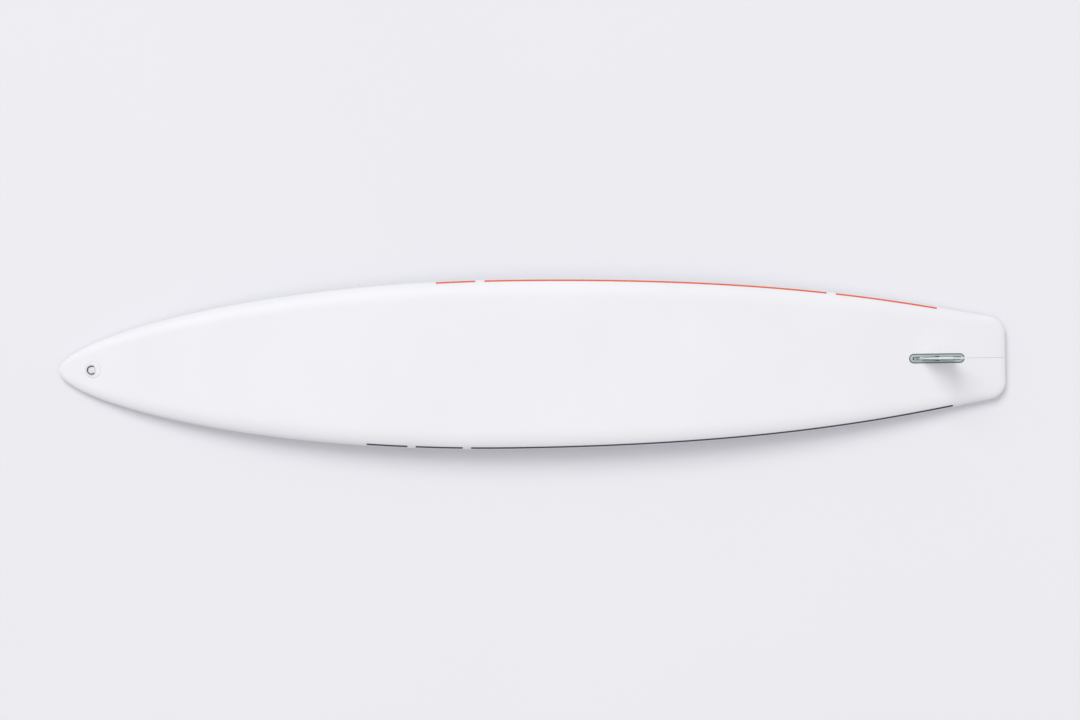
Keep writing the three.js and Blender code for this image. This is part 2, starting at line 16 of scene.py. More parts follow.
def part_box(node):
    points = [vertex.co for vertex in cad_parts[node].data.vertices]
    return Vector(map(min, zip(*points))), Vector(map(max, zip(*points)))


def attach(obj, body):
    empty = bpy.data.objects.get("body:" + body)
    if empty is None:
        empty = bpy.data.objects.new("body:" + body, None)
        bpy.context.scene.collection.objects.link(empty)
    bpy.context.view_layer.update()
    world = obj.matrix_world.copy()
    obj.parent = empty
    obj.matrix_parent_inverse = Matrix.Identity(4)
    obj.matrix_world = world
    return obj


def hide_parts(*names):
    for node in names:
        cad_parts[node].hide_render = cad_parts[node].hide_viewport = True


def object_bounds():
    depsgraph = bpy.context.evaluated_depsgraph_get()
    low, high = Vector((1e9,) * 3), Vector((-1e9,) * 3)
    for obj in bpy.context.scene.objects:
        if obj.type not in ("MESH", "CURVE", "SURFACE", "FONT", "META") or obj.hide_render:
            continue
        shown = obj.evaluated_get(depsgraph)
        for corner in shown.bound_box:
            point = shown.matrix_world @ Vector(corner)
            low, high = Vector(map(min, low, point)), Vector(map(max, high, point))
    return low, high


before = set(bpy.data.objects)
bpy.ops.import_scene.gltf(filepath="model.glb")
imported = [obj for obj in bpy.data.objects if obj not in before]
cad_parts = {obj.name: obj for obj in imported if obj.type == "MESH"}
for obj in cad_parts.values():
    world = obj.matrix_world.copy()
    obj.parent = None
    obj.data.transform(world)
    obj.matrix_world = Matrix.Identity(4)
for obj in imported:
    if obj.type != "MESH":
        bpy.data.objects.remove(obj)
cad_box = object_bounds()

MM = 0.001

# ------------------------------------------------------------------ the board's driving sizes

LENGTH = round((cad_box[1][0] - cad_box[0][0]) / MM)
HALF_WIDTH = 286
THICKNESS = 86
NOSE_THICKNESS = 10
TAIL_THICKNESS = 16
WIDE_STATION = 1530
THICK_STATION = 1560
NOSE_TAPER_POWER = 3
TAIL_TAPER_POWER = 4

HIGH_STATION = 1750
NOSE_ROCKER = 101
TAIL_ROCKER = 95
NOSE_ROCKER_POWER = 2.3
TAIL_ROCKER_POWER = 2.1

# Bezier handles of the plan outline, before and behind its widest place.
NOSE_HANDLES = ((0, 101), (630, HALF_WIDTH))
TAIL_HANDLES = ((2461, HALF_WIDTH), (2884, 188))

TAIL_CORNER_RADIUS = 60
TAIL_STRAIGHT_HALF = 82
TAIL_CORNER_ANGLE = 1.383  # where the rail's curve runs into the round corner, in radians

RAIL_SHARE = 0.44  # of the thickness, from the bottom down to the rail's widest line
BOTTOM_ROLL_ASPECT = 1.75
DECK_ROLL_ASPECT = 3.2
ROLL_POWER = 2.3
TIP_RADIUS = 24

SKIN = 1.5
CLEAR = 9  # how far a cutting solid reaches past a surface
FIN_BOX_STATION = 2965
NOSE_RING_STATION = 118
LEASH_CUP_STATION = 3105

# Pinlines and centre line. Each run is a pair of stations.
PINLINE_WIDTH = 5.8
PINLINE_FROM_RAIL = 2.1
PAINT_HEIGHT = 0.16
RED_RUNS = ((1280, 1414), (1444, 2596), (2626, 2970))
NAVY_RUNS = ((1040, 1178), (1205, 1364), (1391, 3020))
PAINT_SINK = 0.02  # how far a line's edge lies under the gloss
PAINT_ROOT = 0.4  # how far a line's underside reaches into the skin
TAIL_LINE_HALF = 0.8
TAIL_LINE_FROM_BOX = 1
TAIL_LINE_FROM_END = 4

# Fin box. Heights are over the board's surface, and the box's X runs towards the tail.
BOX_LENGTH = 190
BOX_WIDTH = 32
BODY_INSET = 3.5
BOX_DEPTH = 27
SLOT_LENGTH = 166
SLOT_WIDTH = 9.8
SLOT_DEPTH = 24
TRACK_HALF = 7.8
TRACK_TOP = -12
TRACK_BOTTOM = -17.4
DROP_IN_HALF = 9

# Fin and its screw and pin, in the fin box's frame.
FIN_HEIGHT = 222
ROOT_THICKNESS = 8.8
TIP_THICKNESS = 4.4
TIP_ROUND = 10
TIP_CLOSE_FRONT = 0.52  # of the chord, given up in front as the tip rounds over
TIP_CLOSE_BACK = 0.46  # and behind
TAB_HALF = 4.6
SCREW_X = -68
SCREW_RADIUS = 2
SCREW_HOLE_RADIUS = 2.3
DRIVER_SLOT_HALF = 0.6
DRIVER_SLOT_BOTTOM = -0.7
PIN_X = 44
PIN_Z = (TRACK_TOP + TRACK_BOTTOM) / 2
PIN_RADIUS = 2.5
PIN_GAP = 0.3
LEADING_EDGE = ((-60, 0), (-44, 84), (-6, 176), (40, FIN_HEIGHT))
TRAILING_EDGE = ((60, 0), (38, 60), (46, 160), (57, FIN_HEIGHT))
TAB_FRONT = -58
TAB_BACK = 56
TAB_BOTTOM = -20
TAB_TOP = 0.4
LUG_FRONT = -79
LUG_BOTTOM = -11.2
LUG_TOP = -2.5

# Nose ring and its base, in the base's frame.
BASE_RADIUS = 27
BASE_TOP = 1.4
STEM_RADIUS = 17
STEM_DEPTH = 16
WIRE_RADIUS = 2
RING_BEND = 13.5
RING_CENTRE_X = -5
PIVOT_X = 3
PIVOT_Z = 4.4
SADDLE_HALF = 9.5
SADDLE_RADIUS = 5.2
RING_CORNER = 3
SADDLE_FOOT = 1.6
SADDLE_FOOT_FADE = 1.7
WIRE_GAP = 0.35

# Leash cup and its bar, in the cup's frame, whose Z points out of the deck.
CUP_RIM_RADIUS = 17
CUP_RADIUS = 14
CUP_BORE_RADIUS = 11.5
CUP_DEPTH = 21
CUP_FLOOR = -18
CUP_RIM_TOP = -0.2
LEASH_BAR_RADIUS = 2.4
LEASH_BAR_DEPTH = -6.5
LEASH_BAR_GAP = 0.15


# ------------------------------------------------------------------ the board's surface

def bezier(points, count):
    t = np.linspace(0, 1, count)[:, None]
    a, b, c, d = np.array(points, float)
    return (1 - t) ** 3 * a + 3 * (1 - t) ** 2 * t * b + 3 * (1 - t) * t * t * c + t**3 * d


def make_outline():
    """Half of the plan outline, from the nose tip to the middle of the tail end."""
    corner = np.array([LENGTH - TAIL_CORNER_RADIUS, TAIL_STRAIGHT_HALF])
    angles = np.linspace(TAIL_CORNER_ANGLE, 0, 40)[:, None]
    arc = corner + TAIL_CORNER_RADIUS * np.hstack([np.cos(angles), np.sin(angles)])
    widest = (WIDE_STATION, HALF_WIDTH)
    nose = bezier([(0, 0), *NOSE_HANDLES, widest], 240)
    tail = bezier([widest, *TAIL_HANDLES, arc[0]], 160)
    return np.vstack([nose, tail[1:], arc[1:], [[LENGTH, 0]]])


OUTLINE = make_outline()


def half_width(station):
    return np.interp(station, OUTLINE[:-1, 0], OUTLINE[:-1, 1])


def distance_to_outline(station, y):
    """Shortest distance in plan to the outline, for arrays of points."""
    station, y = np.broadcast_arrays(np.asarray(station, float), np.abs(y))
    points = np.stack([station.ravel(), y.ravel()], 1)
    start, step = OUTLINE[:-1], np.diff(OUTLINE, axis=0)
    shortest = np.full(len(points), np.inf)
    for a, d in zip(start, step):
        t = np.clip((points - a) @ d / (d @ d), 0, 1)
        gap = points - a - t[:, None] * d
        shortest = np.minimum(shortest, (gap * gap).sum(1))
    return np.sqrt(shortest).reshape(station.shape)


def thickness(station):
    nose = station < THICK_STATION
    reach = np.where(nose, THICK_STATION, LENGTH - THICK_STATION)
    share = np.abs(station - THICK_STATION) / reach
    end = np.where(nose, NOSE_THICKNESS, TAIL_THICKNESS)
    fall = np.clip(1 - share ** np.where(nose, NOSE_TAPER_POWER, TAIL_TAPER_POWER), 0, 1)
    return end + (THICKNESS - end) * np.sqrt(fall)


def rocker(station):
    nose = station < HIGH_STATION
    reach = np.where(nose, HIGH_STATION, LENGTH - HIGH_STATION)
    fall = np.where(nose, NOSE_ROCKER, TAIL_ROCKER)
    share = np.abs(station - HIGH_STATION) / reach
    return NOSE_ROCKER - fall * share ** np.where(nose, NOSE_ROCKER_POWER, TAIL_ROCKER_POWER)


def raw_height(station, y, side):
    """Height of the outer surface over any fixed level. Side 1 is the bottom, -1 the deck."""
    station = np.asarray(station, float)
    depth = thickness(station) * RAIL_SHARE
    rise = depth if side > 0 else thickness(station) - depth
    aspect = BOTTOM_ROLL_ASPECT if side > 0 else DECK_ROLL_ASPECT
    centre = distance_to_outline(station, np.zeros_like(station))
    width = np.minimum(aspect * rise, np.maximum(TIP_RADIUS, centre))
    inward = 1 - np.clip(distance_to_outline(station, y) / width, 0, 1)
    roll = (1 - inward**ROLL_POWER) ** (1 / ROLL_POWER)
    return rocker(station) - depth + side * rise * roll


BOTTOM_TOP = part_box("bottom_skin")[1].z / MM
LEVEL = BOTTOM_TOP - float(raw_height(HIGH_STATION, 0.0, 1))


def surface(station, y, side=1):
    """Points on the outer surface in the row frame, in millimetres."""
    station, y = np.broadcast_arrays(np.asarray(station, float), np.asarray(y, float))
    height = raw_height(station, y, side) + LEVEL
    return np.stack([station - LENGTH / 2, y, height], -1)


def surface_frame(station, side):
    """A frame on the centre line: X towards the tail and Z out of the surface."""
    before, here, after = (surface(station + d, 0, side) for d in (-1, 0, 1))
    along = Vector(after - before).normalized()
    out = Vector((-along.z * side, 0, along.x * side))
    across = out.cross(along)
    turn = Matrix((along, across, out)).transposed().to_4x4()
    return Matrix.Translation(Vector(here) * MM) @ turn


FIN_FRAME = surface_frame(FIN_BOX_STATION, 1)
NOSE_FRAME = surface_frame(NOSE_RING_STATION, 1)
LEASH_FRAME = surface_frame(LEASH_CUP_STATION, -1)


# ------------------------------------------------------------------ mesh helpers

def make_object(name, points, faces, matrix=None):
    """A mesh object from points in millimetres, in the row frame or in the matrix's frame."""
    mesh = bpy.data.meshes.new(name)
    mesh.from_pydata((np.asarray(points, float) * MM).tolist(), [], faces)
    mesh.validate()
    mesh.update()
    thing = bpy.data.objects.new(name, mesh)
    bpy.context.scene.collection.objects.link(thing)
    thing.matrix_world = matrix or Matrix.Identity(4)
    bpy.context.view_layer.update()
    return thing


def grid_faces(rows, columns, start=0, flip=False, wrap=False):
    faces = []
    span = columns if wrap else columns - 1
    for i in range(rows - 1):
        for j in range(span):
            after = (j + 1) % columns
            a, b = start + i * columns + j, start + i * columns + after
            c, d = b + columns, a + columns
            faces.append((a, b, c, d) if flip else (a, d, c, b))
    return faces


def loft(name, loops, matrix=None):
    """A closed solid through loops of equal length, which run anticlockwise from above."""
    loops = [np.asarray(loop, float) for loop in loops]
    count = len(loops[0])
    faces = grid_faces(len(loops), count, flip=True, wrap=True)
    last = (len(loops) - 1) * count
    faces.append(tuple(reversed(range(count))))
    faces.append(tuple(range(last, last + count)))
    return make_object(name, np.vstack(loops), faces, matrix)


def turned(name, profile, segments, matrix=None):
    """A solid of revolution about Z. The profile goes from the lowest centre to the highest."""
    angles = np.linspace(0, 2 * pi, segments, endpoint=False)
    ring = np.stack([np.cos(angles), np.sin(angles)], 1)
    inner = profile[1:-1]
    loops = [np.column_stack([ring * r, np.full(segments, z)]) for r, z in inner]
    points = [(0, 0, profile[0][1]), *np.vstack(loops), (0, 0, profile[-1][1])]
    faces = grid_faces(len(inner), segments, start=1, flip=True, wrap=True)
    top, last = len(points) - 1, 1 + (len(inner) - 1) * segments
    for j in range(segments):
        after = (j + 1) % segments
        faces.append((0, 1 + after, 1 + j))
        faces.append((top, last + j, last + after))
    return make_object(name, points, faces, matrix)


def closed_sheet(name, outer, inner):
    """A thin closed solid between two grids of points. Rows run along +X and columns to -Y."""
    rows, columns = outer.shape[:2]
    size = rows * columns
    top = grid_faces(rows, columns, flip=True)
    low = grid_faces(rows, columns, start=size)
    rim = [i * columns for i in range(rows)]
    rim += [size - columns + j for j in range(1, columns)]
    rim += [i * columns + columns - 1 for i in range(rows - 2, -1, -1)]
    rim += list(range(columns - 2, 0, -1))
    wall = [(a + size, b + size, b, a) for a, b in zip(rim, rim[1:] + rim[:1])]
    points = np.vstack([outer.reshape(-1, 3), inner.reshape(-1, 3)])
    return weld(make_object(name, points, top + low + wall))


def weld(thing):
    """Merges points that lie on each other and drops the faces that this closes up."""
    body = bmesh.new()
    body.from_mesh(thing.data)
    bmesh.ops.remove_doubles(body, verts=body.verts, dist=1e-7)
    bmesh.ops.dissolve_degenerate(body, edges=body.edges, dist=1e-7)
    bmesh.ops.recalc_face_normals(body, faces=body.faces)
    body.to_mesh(thing.data)
    body.free()
    return thing


def rounded(points, radius, steps=5):
    """A profile with every inner corner rounded, as far as its neighbours leave room."""
    points = [np.array(p, float) for p in points]
    out = [points[0]]
    for before, here, after in zip(points, points[1:], points[2:]):
        a, b = before - here, after - here
        la, lb = np.linalg.norm(a), np.linalg.norm(b)
        cut = min(radius, la * 0.45, lb * 0.45)
        start, end = here + a / la * cut, here + b / lb * cut
        for t in np.linspace(0, 1, steps):
            out.append((1 - t) ** 2 * start + 2 * (1 - t) * t * here + t * t * end)
    out.append(points[-1])
    return [tuple(p) for p in out]


def stadium(length, width, z, steps=24):
    """A loop with round ends, long in X."""
    reach, radius = (length - width) / 2, width / 2
    loop = []
    for centre, start in ((reach, -pi / 2), (-reach, pi / 2)):
        for angle in np.linspace(start, start + pi, steps):
            loop.append((centre + radius * cos(angle), radius * sin(angle), z))
    return loop


def tube(name, path, radius, segments=20, matrix=None):
    """A rod along a smooth path, with slightly rounded ends."""
    path = np.array(path, float)
    tangents = np.gradient(path, axis=0)
    tangents /= np.linalg.norm(tangents, axis=1)[:, None]
    side = np.cross(tangents[0], (0.3, 0.1, 1))  # no path starts along that direction
    loops = []
    for point, tangent in zip(path, tangents):
        side = side - tangent * (side @ tangent)
        side /= np.linalg.norm(side)
        other = np.cross(tangent, side)
        angles = np.linspace(0, 2 * pi, segments, endpoint=False)[:, None]
        loops.append((point, np.cos(angles) * side + np.sin(angles) * other, tangent))
    rings = []
    for end, sign in ((loops[0], -1), (loops[-1], 1)):
        point, spokes, tangent = end
        cap = [
            point + sign * tangent * radius * 0.3 * sin(a) + spokes * radius * (0.7 + 0.3 * cos(a))
            for a in (0.5, 1.0, pi / 2)
        ]
        rings.append(cap)
    body = [point + spokes * radius for point, spokes, _ in loops]
    return loft(name, [*reversed(rings[0]), *body, *rings[1]], matrix)


def cross_rod(name, x, z, reach, radius, segments, matrix, steps=9):
    """A rod along Y, as far as its reach on both sides."""
    path = [(x, y, z) for y in np.linspace(-reach, reach, steps)]
    return tube(name, path, radius, segments, matrix)


def box_solid(name, low, high, matrix=None):
    (x0, y0, z0), (x1, y1, z1) = low, high
    loops = [[(x0, y0, z), (x1, y0, z), (x1, y1, z), (x0, y1, z)] for z in (z0, z1)]
    return loft(name, loops, matrix)


def combine(target, others, operation):
    """Joins or cuts the target with other closed solids, and removes those."""
    for other in others:
        step = target.modifiers.new("combine", "BOOLEAN")
        step.operation = operation
        step.solver = "MANIFOLD"
        step.object = other
    bpy.context.view_layer.update()
    graph = bpy.context.evaluated_depsgraph_get()
    result = bpy.data.meshes.new_from_object(target.evaluated_get(graph))
    target.modifiers.clear()
    target.data = result
    for other in others:
        bpy.data.objects.remove(other)


def cut(target, *others):
    combine(target, others, "DIFFERENCE")


def join(target, *others):
    combine(target, others, "UNION")


def settle(thing, material, body, nodes, crease=38):
    """Shades a finished piece, and ties it to its body and to the CAD nodes it stands for."""
    thing.data.materials.clear()
    thing.data.materials.append(material)
    thing.data.shade_smooth()
    thing.data.set_sharp_from_angle(angle=radians(crease))
    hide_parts(*nodes)
    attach(thing, body)


# ------------------------------------------------------------------ material helpers

WAVE_RATE = 20  # radians of the wave texture for each unit of its scaled place


class Paint:
    """A Principled material, with short calls for the nodes that vary it."""

    def __init__(self, name, **values):
        self.material = bpy.data.materials.new(name)
        self.material.use_nodes = True
        self.tree = self.material.node_tree
        self.shader = self.tree.nodes["Principled BSDF"]
        for key, value in values.items():
            self.shader.inputs[key.replace("_", " ")].default_value = value
        self.place = self.tree.nodes.new("ShaderNodeTexCoord").outputs["Object"]
        self.normal = None

    def add(self, kind, **values):
        node = self.tree.nodes.new(kind)
        for key, value in values.items():
            if hasattr(node, key):
                setattr(node, key, value)
            else:
                node.inputs[key.replace("_", " ")].default_value = value
        return node

    def link(self, source, target):
        self.tree.links.new(source, target)

    def part(self, axis):
        """One coordinate in the object's own frame, in metres."""
        node = self.add("ShaderNodeSeparateXYZ")
        self.link(self.place, node.inputs[0])
        return node.outputs[axis]

    def stretched(self, scale, turn=(0, 0, 0)):
        node = self.add("ShaderNodeMapping", Scale=scale, Rotation=turn)
        self.link(self.place, node.inputs["Vector"])
        return node.outputs["Vector"]

    def noise(self, scale, detail=4, roughness=0.55, distortion=0.0, turn=(0, 0, 0)):
        """Noise with a scale in features per metre, for each axis."""
        node = self.add("ShaderNodeTexNoise", Scale=1.0, Detail=detail, Roughness=roughness)
        node.inputs["Distortion"].default_value = distortion
        scale = (scale,) * 3 if isinstance(scale, (int, float)) else scale
        self.link(self.stretched(scale, turn), node.inputs["Vector"])
        return node.outputs["Fac"]

    def cells(self, scale):
        node = self.add("ShaderNodeTexVoronoi", Scale=1.0)
        self.link(self.stretched((scale,) * 3), node.inputs["Vector"])
        return node.outputs["Distance"]

    def bands(self, pitch, turn=(0, 0, 0), distortion=0.0):
        """Waves across X, with a pitch in metres."""
        scale = 2 * pi / (WAVE_RATE * pitch)
        node = self.add("ShaderNodeTexWave", Scale=scale, Distortion=distortion)
        self.link(self.stretched((1, 1, 1), turn), node.inputs["Vector"])
        return node.outputs["Fac"]

    def math(self, operation, a, b):
        node = self.add("ShaderNodeMath", operation=operation)
        for socket, value in zip(node.inputs, (a, b)):
            if isinstance(value, (int, float)):
                socket.default_value = value
            else:
                self.link(value, socket)
        return node.outputs["Value"]

    def weighted(self, a, share, b):
        """A sum that takes the given share of a and the rest of b."""
        first, rest = self.math("MULTIPLY", a, share), self.math("MULTIPLY", b, 1 - share)
        return self.math("ADD", first, rest)

    def between(self, factor, low, high, start=0.3, end=0.7):
        """A number that goes from low to high as the factor goes from start to end."""
        node = self.add("ShaderNodeMapRange")
        self.link(factor, node.inputs["Value"])
        limits = {"From Min": start, "From Max": end, "To Min": low, "To Max": high}
        for key, value in limits.items():
            node.inputs[key].default_value = value
        return node.outputs["Result"]

    def colours(self, factor, *stops):
        """A ramp of (place, colour) stops."""
        node = self.add("ShaderNodeValToRGB")
        ramp = node.color_ramp.elements
        while len(ramp) < len(stops):
            ramp.new(0.5)
        for element, (place, colour) in zip(ramp, stops):
            element.position = place
            element.color = (*colour, 1)
        self.link(factor, node.inputs["Fac"])
        return node.outputs["Color"]

    def mixed(self, factor, a, b):
        node = self.add("ShaderNodeMix", data_type="RGBA")
        for socket, value in zip((node.inputs[0], node.inputs[6], node.inputs[7]), (factor, a, b)):
            if isinstance(value, tuple):
                socket.default_value = (*value, 1)
            elif isinstance(value, (int, float)):
                socket.default_value = value
            else:
                self.link(value, socket)
        return node.outputs[2]

    def bump(self, height, depth):
        """Adds relief, with a depth in metres for heights from 0 to 1."""
        node = self.add("ShaderNodeBump", Strength=1.0, Distance=depth)
        self.link(height, node.inputs["Height"])
        if self.normal:
            self.link(self.normal, node.inputs["Normal"])
        self.normal = node.outputs["Normal"]

    def done(self, colour, roughness):
        self.link(colour, self.shader.inputs["Base Color"])
        self.link(roughness, self.shader.inputs["Roughness"])
        if self.normal:
            self.link(self.normal, self.shader.inputs["Normal"])
        return self.material


QUARTER = (0, 0, pi / 2)


def scratches(paint, low, high):
    """Roughness with long fine rubbing marks, mostly along the piece."""
    along = paint.noise((9, 420, 420), detail=3, roughness=0.7)
    across = paint.noise((300, 14, 300), detail=2, roughness=0.7, turn=(0, 0, 0.5))
    marks = paint.math("MAXIMUM", paint.between(along, 0, 1, 0.58, 0.75),
                       paint.between(across, 0, 0.6, 0.62, 0.8))
    haze = paint.between(paint.noise(7, detail=5), 0, 1)
    return paint.between(paint.math("ADD", marks, haze), low, high, 0, 1.6)


def gloss_white():
    """Clear resin over glass cloth and white foam."""
    paint = Paint("gloss_white", Specular_IOR_Level=0.34, Coat_Weight=0.07, Coat_Roughness=0.32)
    cloth = paint.math("MULTIPLY", paint.bands(0.0011), paint.bands(0.0011, QUARTER))
    mottle = paint.noise(3.2, detail=5)
    white = paint.colours(mottle, (0.3, (0.795, 0.8, 0.828)), (0.7, (0.82, 0.825, 0.85)))
    threads = paint.between(cloth, 0, 0.16, 0, 1)
    colour = paint.mixed(threads, white, (0.74, 0.75, 0.775))
    paint.bump(paint.noise(5, detail=2), 0.0006)
    paint.bump(paint.noise(260, detail=2), 0.000012)
    paint.bump(cloth, 0.000006)
    return paint.done(colour, scratches(paint, 0.42, 0.58))


def line_paint(name, dark, light):
    """A brushed pinline under the gloss coat."""
    paint = Paint(name, Specular_IOR_Level=0.4, Coat_Weight=0.15, Coat_Roughness=0.16)
    strokes = paint.noise((60, 900, 900), detail=4)
    patches = paint.noise(26, detail=4)
    mix = paint.weighted(strokes, 0.6, patches)
    paint.bump(strokes, 0.00003)
    colour = paint.colours(mix, (0.3, dark), (0.7, light))
    return paint.done(colour, scratches(paint, 0.22, 0.4))


def faint_ink():
    paint = Paint("faint_ink", Specular_IOR_Level=0.4, Coat_Weight=0.3)
    grain = paint.noise((200, 1500, 1500), detail=5)
    colour = paint.colours(grain, (0.25, (0.42, 0.42, 0.44)), (0.75, (0.6, 0.6, 0.62)))
    return paint.done(colour, paint.between(grain, 0.35, 0.55))


def fin_laminate():
    """Layers of woven glass in resin: polished above the board, raw and rubbed on the tab."""
    paint = Paint("fin_laminate", Specular_IOR_Level=0.5, Coat_Weight=0.6, Coat_Roughness=0.06,
                  Subsurface_Weight=0.12, Subsurface_Scale=0.004)
    warp = paint.bands(0.0034, distortion=0.6)
    weft = paint.bands(0.0034, (0, pi / 2, 0), distortion=0.6)
    weave = paint.math("MULTIPLY", warp, weft)
    cream = paint.colours(paint.noise(14, detail=5),
                          (0.3, (0.82, 0.83, 0.76)), (0.7, (0.9, 0.91, 0.85)))
    woven = paint.mixed(paint.between(weave, 0, 0.35, 0, 1), cream, (0.64, 0.68, 0.61))
    raw = paint.colours(paint.noise(180, detail=4),
                        (0.3, (0.36, 0.41, 0.37)), (0.7, (0.46, 0.51, 0.46)))
    colour = paint.mixed(paint.between(paint.part("Z"), 1, 0, -0.0012, 0.0004), woven, raw)
    paint.bump(weave, 0.00002)
    paint.bump(paint.noise(40, detail=3), 0.0001)
    return paint.done(colour, scratches(paint, 0.12, 0.3))


def stadium_inset(paint, length, width):
    """How far inside a plate with round ends a point lies in plan, in metres."""
    along, across = paint.math("ABSOLUTE", paint.part("X"), 0), paint.part("Y")
    beyond = paint.math("MAXIMUM", paint.math("SUBTRACT", along, (length - width) / 2 * MM), 0)
    squares = paint.math("ADD", paint.math("MULTIPLY", beyond, beyond),
                         paint.math("MULTIPLY", across, across))
    return paint.math("SUBTRACT", width / 2 * MM, paint.math("SQRT", squares, 0))


def box_plastic():
    """Moulded grey-green plastic, rubbed along its length, with painted shade in a dark band round
    its outer edge.
    """
    paint = Paint("box_plastic", Specular_IOR_Level=0.6, Coat_Weight=0.5, Coat_Roughness=0.12)
    tone = paint.noise((40, 160, 160), detail=5)
    body = paint.colours(tone, (0.3, (0.32, 0.41, 0.43)), (0.7, (0.39, 0.48, 0.5)))
    # Painted shade: the dark band round the outer edge stands in for the shadowed gap and lip
    # where the box meets the board.
    rim = paint.between(stadium_inset(paint, BOX_LENGTH, BOX_WIDTH), 1, 0, 0.0026, 0.0034)
    colour = paint.mixed(rim, body, (0.032, 0.062, 0.07))
    paint.bump(paint.noise(2600, detail=2), 0.000012)
    paint.bump(paint.noise((30, 500, 500), detail=3), 0.00003)
    return paint.done(colour, scratches(paint, 0.2, 0.42))


def metal(name, dark, light, low, high, grain):
    """Metal with fine working marks along the grain's long axis."""
    paint = Paint(name, Metallic=1.0)
    marks = paint.noise(grain, detail=3, roughness=0.7)
    tarnish = paint.noise(220, detail=5)
    paint.bump(marks, 0.00001)
    paint.bump(tarnish, 0.00002)
    mix = paint.weighted(marks, 0.4, tarnish)
    colour = paint.colours(mix, (0.32, dark), (0.68, light))
    return paint.done(colour, paint.between(mix, low, high))


def moulded(name, dark, light, low, high):
    """Injection-moulded plastic with a fine eroded texture."""
    paint = Paint(name, Specular_IOR_Level=0.5)
    tone = paint.noise(55, detail=5)
    paint.bump(paint.noise(3200, detail=2), 0.000025)
    paint.bump(paint.noise(300, detail=3), 0.00003)
    colour = paint.colours(tone, (0.3, dark), (0.7, light))
    return paint.done(colour, scratches(paint, low, high))


def foam(name, dark, light, cell):
    """Closed-cell foam with planer marks along the board. The cell size is in metres."""
    paint = Paint(name, Specular_IOR_Level=0.2)
    cells = paint.cells(1 / cell)
    planed = paint.noise((6, 90, 90), detail=4)
    mix = paint.weighted(cells, 0.5, planed)
    paint.bump(cells, 0.0003)
    colour = paint.colours(mix, (0.2, dark), (0.7, light))
    return paint.done(colour, paint.between(cells, 0.85, 0.98))


def stringer_wood():
    """Straight-grained softwood, with its growth rings along the board."""
    paint = Paint("stringer_wood", Specular_IOR_Level=0.3)
    rings = paint.noise((1.4, 130, 130), detail=3, distortion=1.4)
    pores = paint.noise((50, 2400, 2400), detail=3)
    paint.bump(pores, 0.0002)
    grain = paint.colours(rings, (0.3, (0.31, 0.15, 0.06)), (0.5, (0.52, 0.3, 0.13)),
                          (0.7, (0.62, 0.4, 0.2)))
    colour = paint.mixed(paint.between(pores, 0.35, 0, 0.35, 0.55), grain, (0.2, 0.1, 0.04))
    return paint.done(colour, paint.between(pores, 0.55, 0.8))


# ------------------------------------------------------------------ the two skins

STATIONS = 300
SIDE_STEPS = 34


def shell(name, side):
    """One skin, from rail to rail."""
    station = LENGTH * (1 - np.cos(np.linspace(0, pi, STATIONS + 1))) / 2
    around = np.cos(np.linspace(0, pi, 2 * SIDE_STEPS + 1))
    y = half_width(station)[:, None] * around
    outer = surface(station[:, None] + 0 * y, y, side)
    normal = np.cross(np.gradient(outer, axis=1), np.gradient(outer, axis=0)) * side
    normal /= np.maximum(np.linalg.norm(normal, axis=2), 1e-9)[..., None]
    normal[0], normal[-1] = (-1, 0, 0), (1, 0, 0)
    return closed_sheet(name, outer, outer - normal * SKIN)


def round_pocket(name, radius, matrix):
    profile = [(0, -CLEAR), (radius, -CLEAR), (radius, CLEAR), (0, CLEAR)]
    return turned(name, profile, 96, matrix)


def box_pocket():
    gap = 0.5
    loops = [stadium(BOX_LENGTH + gap, BOX_WIDTH + gap, z, 40) for z in (-CLEAR, CLEAR)]
    return loft("box_pocket", loops, FIN_FRAME)


def make_skins():
    gloss = gloss_white()
    bottom = shell("bottom_shell", 1)
    cut(bottom, box_pocket(), round_pocket("base_pocket", BASE_RADIUS + 0.2, NOSE_FRAME))
    settle(bottom, gloss, "board", ["bottom_skin"])
    deck = shell("deck_shell", -1)
    cut(deck, round_pocket("cup_pocket", CUP_RIM_RADIUS + 0.2, LEASH_FRAME))
    settle(deck, gloss, "board", ["deck_skin"])


# ------------------------------------------------------------------ pinlines and centre line

def on_bottom(station, y, lift):
    """Points over the bottom, lifted along the surface's own direction."""
    slope_x = raw_height(station + 0.5, y, 1) - raw_height(station - 0.5, y, 1)
    slope_y = (raw_height(station, y + 0.05, 1) - raw_height(station, y - 0.05, 1)) * 10
    normal = np.stack([-slope_x, -slope_y, np.ones_like(slope_x)], -1)
    normal /= np.linalg.norm(normal, axis=-1)[..., None]
    return surface(station, y) + normal * lift[..., None]


def painted_strip(name, station, y):
    """A line of paint with a soft rounded edge, from a grid of stations and widths."""
    columns = y.shape[1]
    across = np.abs(np.linspace(-1, 1, columns))
    crown = PAINT_HEIGHT * (1 - across**6) - PAINT_SINK + 0 * y
    under = np.full_like(y, -PAINT_ROOT)
    return closed_sheet(name, on_bottom(station, y, crown), on_bottom(station, y, under))


def taper(station, radius):
    """1 along a line, and falling to a round end at both of its ends."""
    to_end = np.minimum(station - station[0], station[-1] - station)
    inward = 1 - np.clip(to_end / radius, 0, 1)
    return np.sqrt(1 - 0.98 * inward**2)


def spaced(start, end, step, fine):
    """Even steps, with fine ones close to both ends."""
    reach = fine * 12
    ends = np.arange(0, reach, fine)
    middle = np.arange(start + reach, end - reach, step)
    return np.concatenate([start + ends, middle, (end - ends)[::-1]])


